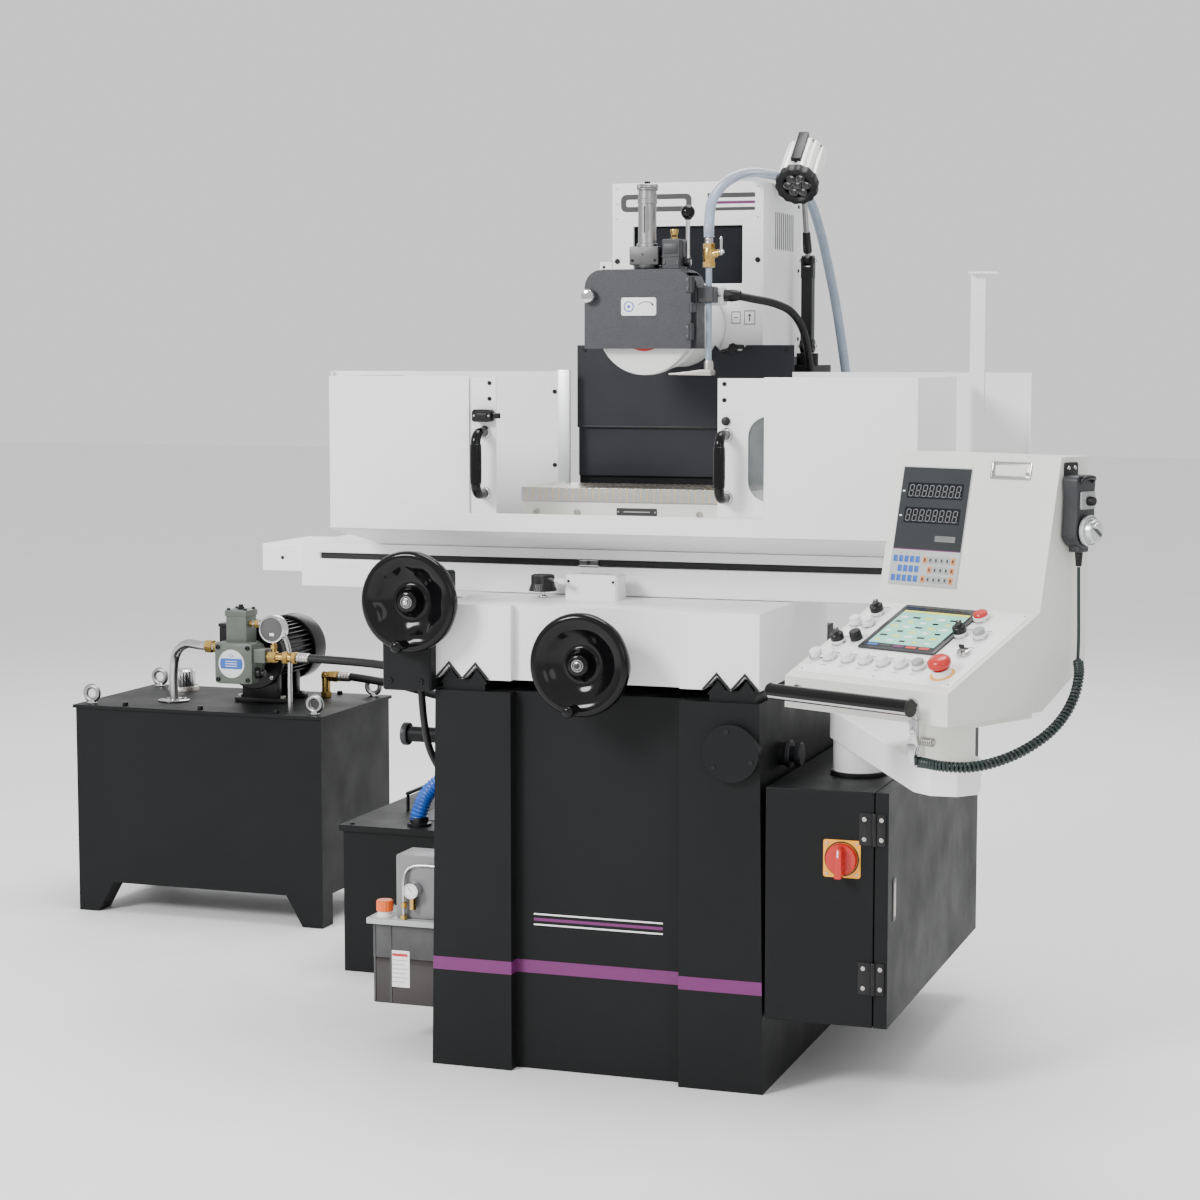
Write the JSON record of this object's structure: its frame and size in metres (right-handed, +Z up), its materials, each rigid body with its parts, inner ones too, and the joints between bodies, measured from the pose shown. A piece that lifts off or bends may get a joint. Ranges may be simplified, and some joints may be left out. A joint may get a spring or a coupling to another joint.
{
  "type": "surface grinder",
  "caption": "Hydraulic surface grinder: sliding saddle and table, magnetic chuck in a splash guard, rising wheel head, lamp, swing-arm pendant, coolant tank and power pack.",
  "frame": {"origin": "on the floor, under the middle of the machine base", "axes": "+X to the operator's right, +Y to the back of the machine, +Z up"},
  "size_m": [2.767, 2.0491, 1.8863],
  "materials": {
    "white_paint": "satin textured",
    "anthracite_paint": "fine textured",
    "cream_paint": "satin",
    "hammertone": "hammered",
    "black_paint": "satin",
    "pump_paint": "cast and painted",
    "ground_steel": "ground",
    "satin_steel": "satin",
    "chrome": "polished",
    "brass": "machined",
    "lamp_shell": "satin",
    "corundum": "rough abrasive",
    "black_rubber": "matt",
    "black_plastic": "fine textured",
    "black_bakelite": "polished",
    "red_plastic": "glossy",
    "button_white": "glossy",
    "light_grey": "satin",
    "clear_hose": "clear, tinted blue",
    "blue_hose": "corrugated"
  },
  "bodies": {
    "frame": {"machine_base": "anthracite_paint", "column": "anthracite_paint", "electrical_cabinet": "anthracite_paint", "pendant_pillar": "white_paint", "coolant_tank": "anthracite_paint", "lubricator": "light_grey", "hydraulic_tank": "anthracite_paint", "pump_motor": "black_paint", "hydraulic_pump": "pump_paint", "pressure_hose": "black_rubber", "return_hose": "black_rubber", "coolant_hose": "clear_hose", "drain_hose": "blue_hose", "feed_hose": "black_rubber"},
    "saddle": {"saddle": "white_paint", "feed_bracket": "anthracite_paint", "rear_guard_left": "white_paint", "rear_guard_right": "white_paint"},
    "speed_knob": {"table_speed_knob": "black_plastic"},
    "table_handwheel": {"longitudinal_handwheel": "black_bakelite"},
    "cross_feed_handwheel": {"cross_handwheel": "black_bakelite"},
    "table": {"table": "white_paint", "splash_tray": "white_paint", "chuck_body": "cream_paint", "chuck_plate": "ground_steel", "splash_guard": "white_paint"},
    "left_guard_door": {"left_door": "white_paint", "left_door_handle": "black_plastic"},
    "right_guard_door": {"right_door": "white_paint", "right_door_handle": "black_plastic"},
    "latch": {"door_latch": "black_plastic"},
    "head": {"wheel_head": "white_paint", "head_cover": "white_paint", "way_cover_upper": "anthracite_paint", "wheel_guard": "hammertone", "coolant_valve": "brass", "spindle_conduit": "black_rubber"},
    "middle_cover": {"way_cover_middle": "anthracite_paint"},
    "guard_cover": {"wheel_guard_cover": "hammertone"},
    "wheel": {"grinding_wheel": "corundum", "wheel_spindle": "ground_steel"},
    "dresser": {"dresser_carriage": "satin_steel"},
    "dresser_top_dial": {"dresser_dial": "satin_steel"},
    "dresser_hand_lever": {"dresser_lever": "chrome"},
    "coolant_lever": {"valve_lever": "chrome"},
    "lamp_lower_arm": {"lamp_arm": "black_plastic"},
    "lamp": {"lamp_head": "lamp_shell"},
    "cabinet_lid": {"cabinet_door": "anthracite_paint"},
    "isolator": {"main_switch": "red_plastic"},
    "pendant_arm": {"swing_arm": "white_paint"},
    "pendant": {"control_pendant": "cream_paint", "grab_bar": "black_rubber", "pulse_generator": "black_plastic", "curly_cord": "black_rubber"},
    "stop_button": {"emergency_stop": "red_plastic"},
    "key": {"key_switch": "chrome"},
    "left_knob": {"selector_left": "black_plastic"},
    "right_knob": {"selector_right": "black_plastic"},
    "start": {"start_button": "button_white"},
    "handwheel_dial": {"pulse_dial": "chrome"}
  },
  "joints": [
    {"name": "saddle_slide", "type": "slide", "parent": "frame", "child": "saddle", "axis": [0, 1, 0], "range_m": [-0.165, 0.055]},
    {"name": "table_slide", "type": "slide", "parent": "saddle", "child": "table", "axis": [1, 0, 0], "range_m": [-0.28, 0.28]},
    {"name": "cross_handwheel_turn", "type": "hinge", "parent": "saddle", "child": "cross_feed_handwheel", "pos_m": [0, -0.63, 0.828], "axis": [0, 1, 0], "range_deg": [-11950, 4000]},
    {"name": "longitudinal_handwheel_turn", "type": "hinge", "parent": "saddle", "child": "table_handwheel", "pos_m": [-0.365, -0.6, 0.935], "axis": [0, 1, 0], "range_deg": [-1700, 1700]},
    {"name": "speed_knob_turn", "type": "hinge", "parent": "saddle", "child": "speed_knob", "pos_m": [-0.175, -0.36, 0.928], "axis": [0, 0, 1], "range_deg": [-120, 0]},
    {"name": "left_door_slide", "type": "slide", "parent": "table", "child": "left_guard_door", "axis": [1, 0, 0], "range_m": [0, 0.229]},
    {"name": "right_door_slide", "type": "slide", "parent": "table", "child": "right_guard_door", "axis": [-1, 0, 0], "range_m": [0, 0.229]},
    {"name": "latch_slide", "type": "slide", "parent": "left_guard_door", "child": "latch", "axis": [1, 0, 0], "range_m": [0, 0.012]},
    {"name": "head_slide", "type": "slide", "parent": "frame", "child": "head", "axis": [0, 0, 1], "range_m": [-0.225, 0.02], "deforming": ["coolant_hose"]},
    {"name": "middle_cover_slide", "type": "slide", "parent": "frame", "child": "middle_cover", "axis": [0, 0, 1], "range_m": [-0.115, 0.012]},
    {"name": "guard_cover_swing", "type": "hinge", "parent": "head", "child": "guard_cover", "pos_m": [0.1085, -0.2665, 1.428], "axis": [0, 0, 1], "range_deg": [0, 100]},
    {"name": "wheel_spin", "type": "hinge", "parent": "head", "child": "wheel", "pos_m": [0, -0.238, 1.475], "axis": [0, 1, 0], "continuous": true},
    {"name": "dresser_slide", "type": "slide", "parent": "head", "child": "dresser", "axis": [0, 1, 0], "range_m": [-0.014, 0.014]},
    {"name": "dresser_lever_swing", "type": "hinge", "parent": "head", "child": "dresser_hand_lever", "pos_m": [0.083, -0.21, 1.602], "axis": [1, 0, 0], "range_deg": [-18, 18]},
    {"name": "dresser_dial_turn", "type": "hinge", "parent": "dresser", "child": "dresser_top_dial", "pos_m": [0.002, -0.2255, 1.745], "axis": [0, 0, 1], "range_deg": [-180, 180]},
    {"name": "valve_lever_turn", "type": "hinge", "parent": "head", "child": "coolant_lever", "pos_m": [0.1545, -0.225, 1.6205], "axis": [0.9648, 0, 0.2631], "range_deg": [0, 90]},
    {"name": "lamp_arm_tilt", "type": "hinge", "parent": "frame", "child": "lamp_lower_arm", "pos_m": [0.205, 0.29, 1.435], "axis": [1, 0, 0], "range_deg": [-25, 25]},
    {"name": "lamp_head_tilt", "type": "hinge", "parent": "lamp_lower_arm", "child": "lamp", "pos_m": [0.205, 0.29, 1.62], "axis": [1, 0, 0], "range_deg": [-20, 20]},
    {"name": "cabinet_door_swing", "type": "hinge", "parent": "frame", "child": "cabinet_lid", "pos_m": [0.5572, -0.5535, 0.15], "axis": [0, 0, -1], "range_deg": [0, 110]},
    {"name": "main_switch_turn", "type": "hinge", "parent": "frame", "child": "isolator", "pos_m": [0.495, -0.55, 0.471], "axis": [0, 1, 0], "range_deg": [0, 90]},
    {"name": "arm_swing", "type": "hinge", "parent": "frame", "child": "pendant_arm", "pos_m": [0.478, -0.347, 0.6723], "axis": [0, 0, 1], "range_deg": [-30, 20]},
    {"name": "pendant_swivel", "type": "hinge", "parent": "pendant_arm", "child": "pendant", "pos_m": [0.762, -0.9, 0.7285], "axis": [0, 0, 1], "range_deg": [-45, 45]},
    {"name": "estop_push", "type": "slide", "parent": "pendant", "child": "stop_button", "axis": [-0.1819, -0.3729, 0.9099], "range_m": [-0.004, 0]},
    {"name": "key_turn", "type": "hinge", "parent": "pendant", "child": "key", "pos_m": [0.81056, -1.01714, 0.92262], "axis": [-0.1819, -0.3729, 0.9099], "range_deg": [0, 90]},
    {"name": "selector_left_turn", "type": "hinge", "parent": "pendant", "child": "left_knob", "pos_m": [0.57169, -0.90468, 0.92096], "axis": [-0.1819, -0.3729, 0.9099], "range_deg": [-60, 60]},
    {"name": "selector_right_turn", "type": "hinge", "parent": "pendant", "child": "right_knob", "pos_m": [0.79335, -0.95206, 0.94585], "axis": [-0.1819, -0.3729, 0.9099], "range_deg": [-60, 60]},
    {"name": "start_button_push", "type": "slide", "parent": "pendant", "child": "start", "axis": [-0.1819, -0.3729, 0.9099], "range_m": [-0.003, 0], "stiffness_N_per_m": 300, "springref_m": 0.0005},
    {"name": "pulse_dial_turn", "type": "hinge", "parent": "pendant", "child": "handwheel_dial", "pos_m": [0.9861, -0.85799, 1.122], "axis": [0.8988, -0.4384, 0], "continuous": true}
  ],
  "couplings": [
    {"joint": "cross_handwheel_turn", "follows": "saddle_slide", "rad_per_m": 1256.6},
    {"joint": "longitudinal_handwheel_turn", "follows": "table_slide", "rad_per_m": 104.72},
    {"joint": "middle_cover_slide", "follows": "head_slide", "ratio": 0.5},
    {"joint": "dresser_lever_swing", "follows": "dresser_slide", "rad_per_m": -21.8}
  ]
}
